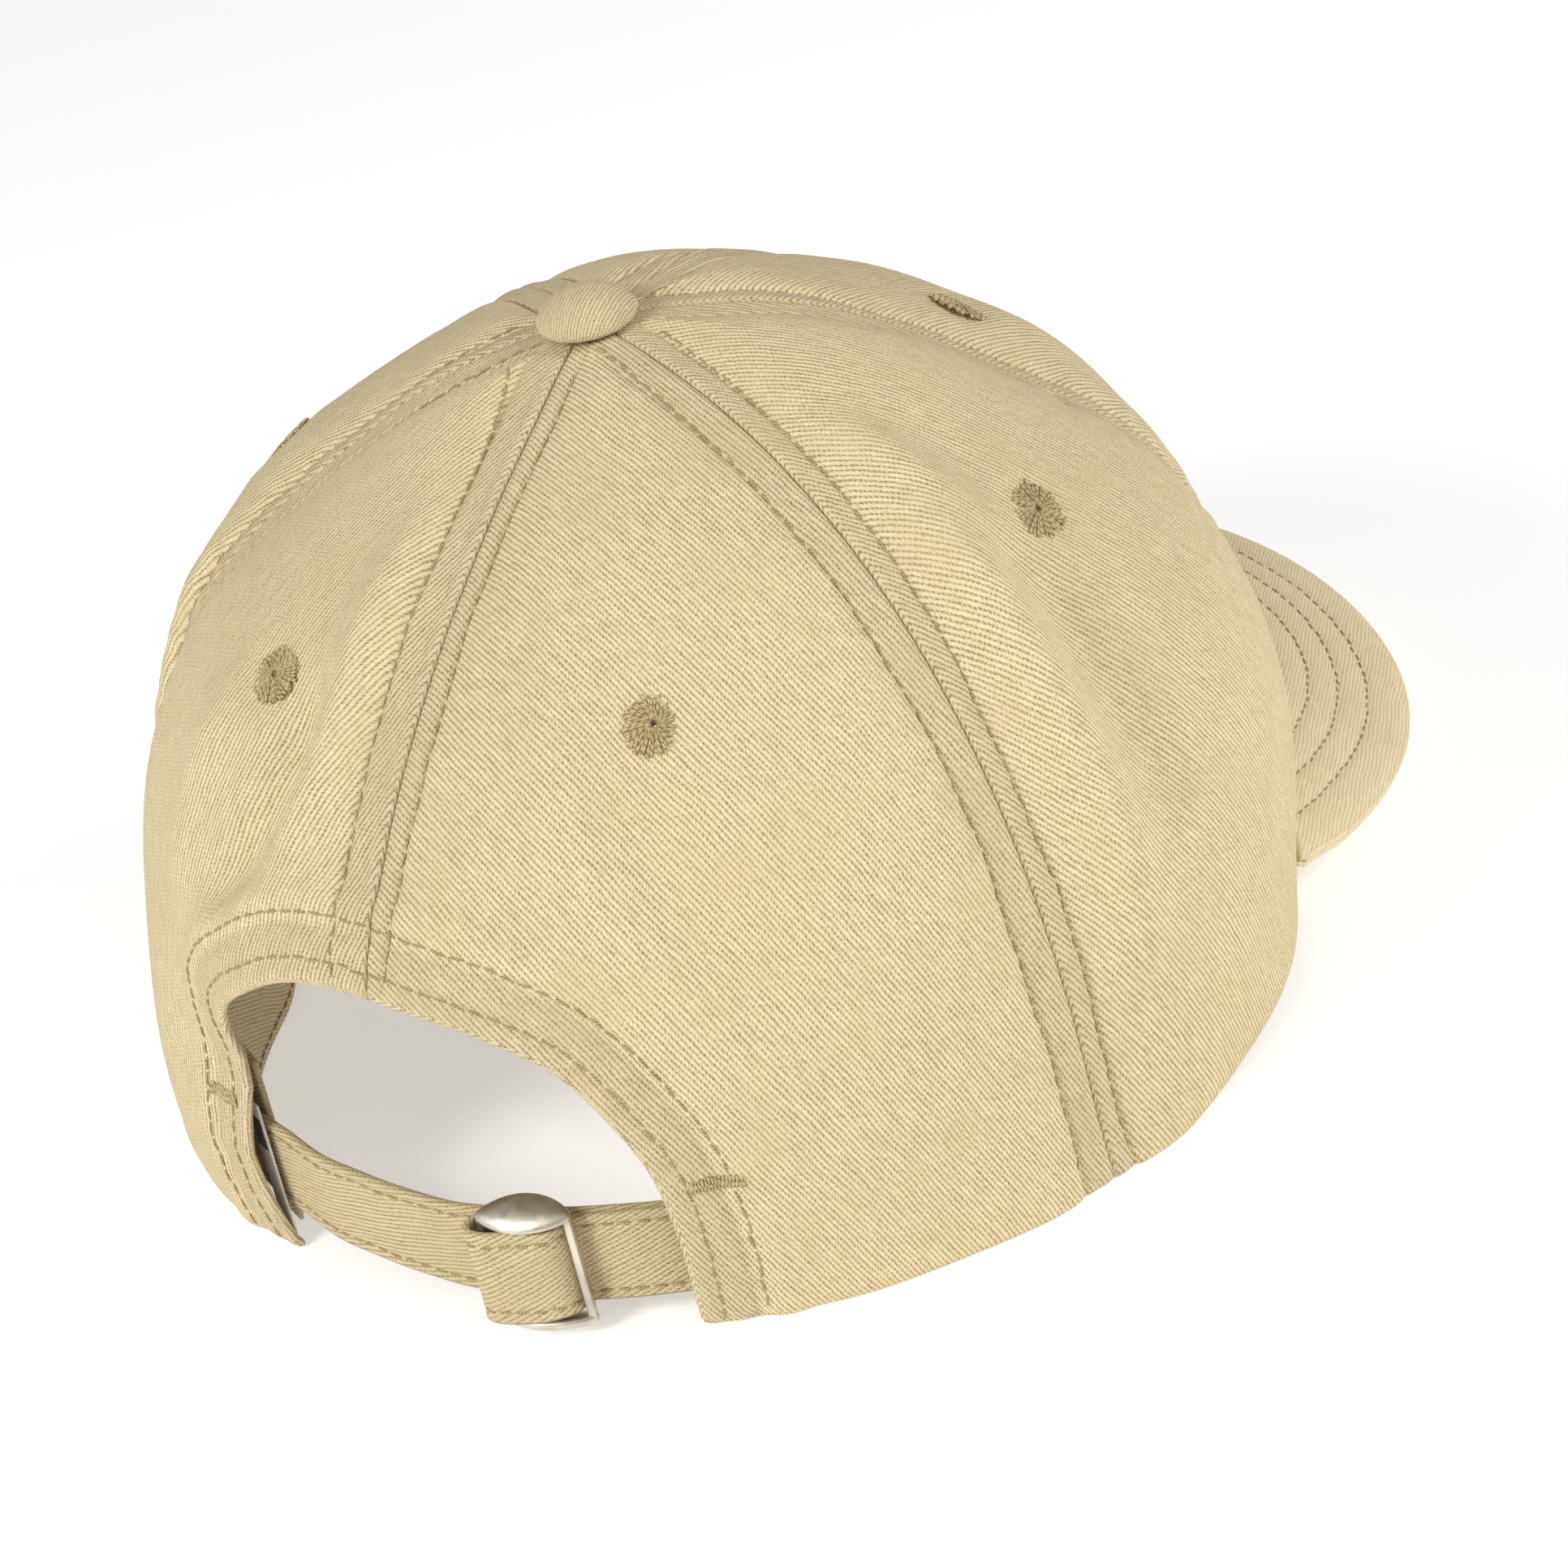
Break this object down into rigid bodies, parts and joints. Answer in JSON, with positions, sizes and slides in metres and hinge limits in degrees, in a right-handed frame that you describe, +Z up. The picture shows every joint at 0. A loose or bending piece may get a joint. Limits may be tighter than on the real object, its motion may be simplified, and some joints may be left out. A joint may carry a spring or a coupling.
{
  "type": "baseball cap",
  "caption": "Soft unstructured panelled cap of cotton twill with a pre-curved visor, covered top button, sewn eyelets, arched back opening and a fabric strap with a sliding metal buckle.",
  "frame": {"origin": "centre of the head opening, on the plane the cap stands on; the top button is 8 mm nearer the visor", "axes": "+Z up through the crown, -Y towards the visor, +Y towards the strap opening, -X the wearer's right"},
  "size_m": [0.1956, 0.2369, 0.1303],
  "materials": {
    "twill": "khaki cotton twill, diagonal wale",
    "tape": "plain weave seam tape",
    "sweatband": "soft brushed cotton",
    "thread": "embroidery thread",
    "board": "sheet plastic visor board",
    "button_metal": "pressed sheet",
    "buckle_metal": "satin antique silver",
    "label": "woven satin label"
  },
  "bodies": {
    "cap": {"panel_front_left": "twill", "panel_front_right": "twill", "panel_side_left": "twill", "panel_side_right": "twill", "panel_back_left": "twill", "panel_back_right": "twill", "seam_tape_back": "tape", "seam_tape_front": "tape", "seam_tape_back_left": "tape", "seam_tape_back_right": "tape", "seam_tape_front_left": "tape", "seam_tape_front_right": "tape", "arch_facing": "twill", "sweatband": "sweatband", "visor_board": "board", "visor_top_cover": "twill", "visor_under_cover": "twill", "button_cover": "twill", "button_shell": "button_metal", "button_washer": "button_metal", "eyelet_back_left": "thread", "eyelet_back_right": "thread", "eyelet_side_left": "thread", "eyelet_side_right": "thread", "eyelet_front_left": "thread", "eyelet_front_right": "thread", "strap": "twill", "care_label": "label", "bar_tacks": "thread"},
    "slider": {"strap_tail": "twill"},
    "buckle_frame": {"buckle": "buckle_metal"}
  },
  "joints": [
    {"name": "buckle_slide", "type": "hinge", "parent": "cap", "child": "slider", "pos_m": [0, 0, 0.012], "axis": [0, 0, 1], "range_deg": [-30, 9]},
    {"name": "buckle_tilt", "type": "hinge", "parent": "slider", "child": "buckle_frame", "pos_m": [-0.01647, 0.08634, 0.012], "axis": [0, 0, 1], "range_deg": [-5, 5]}
  ]
}
